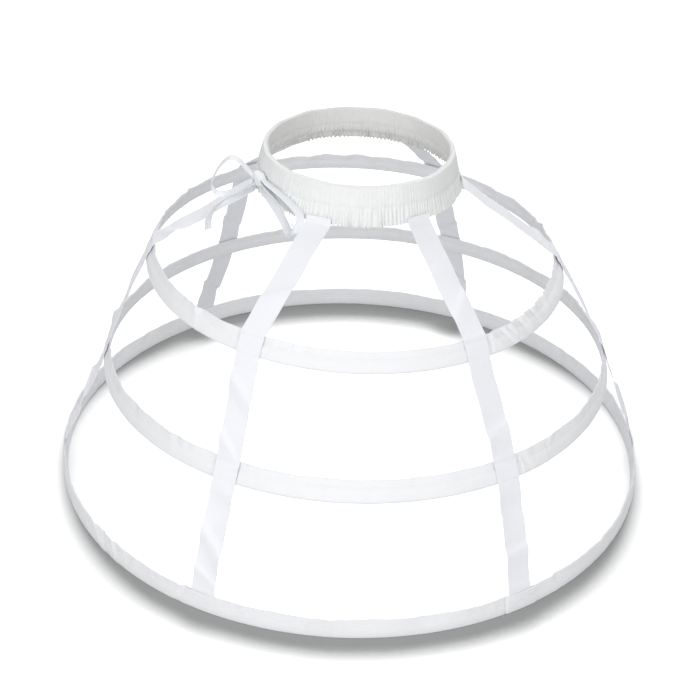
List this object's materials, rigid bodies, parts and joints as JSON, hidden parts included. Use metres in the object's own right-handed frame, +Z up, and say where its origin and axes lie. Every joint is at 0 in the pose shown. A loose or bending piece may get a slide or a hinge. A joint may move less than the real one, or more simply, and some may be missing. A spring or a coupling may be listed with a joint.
{
  "type": "crinoline cage",
  "caption": "White wired petticoat frame: stiff ribbon-covered hoops hung from a gathered drawstring waistband by flat tapes, to hold a full skirt out in a bell shape",
  "frame": {"origin": "On the floor, at the centre of the hem hoop's lower edge", "axes": "+Z up towards the waist, -Y to the front between the two front tapes, +X to the wearer's left"},
  "size_m": [0.6046, 0.6046, 0.3603],
  "materials": {
    "hoop_ribbon": "white woven ribbon, slightly satin",
    "tape_ribbon": "cool white woven ribbon, slightly satin",
    "waistband_cotton": "off-white cotton, finely gathered",
    "elastic_webbing": "white knitted elastic",
    "drawstring_ribbon": "narrow white ribbon",
    "bone_steel": "flat spring steel, coated white",
    "ferrule_steel": "crimped bright steel sleeve"
  },
  "bodies": {
    "root": {"hem_hoop_casing": "hoop_ribbon", "middle_hoop_casing": "hoop_ribbon", "top_hoop_casing": "hoop_ribbon", "hem_hoop_bone": "bone_steel", "hem_hoop_ferrule": "ferrule_steel", "middle_hoop_bone": "bone_steel", "middle_hoop_ferrule": "ferrule_steel", "top_hoop_bone": "bone_steel", "top_hoop_ferrule": "ferrule_steel", "tape_front_left": "tape_ribbon", "tape_front_right": "tape_ribbon", "tape_side_right": "tape_ribbon", "tape_back_right": "tape_ribbon", "tape_back_left": "tape_ribbon", "tape_side_left": "tape_ribbon", "waistband_casing": "waistband_cotton", "waist_elastic": "elastic_webbing", "waist_drawstring": "drawstring_ribbon", "bow_knot": "drawstring_ribbon", "bow_loop_left": "drawstring_ribbon", "bow_tail_left": "drawstring_ribbon", "bow_loop_right": "drawstring_ribbon", "bow_tail_right": "drawstring_ribbon"}
  },
  "joints": []
}
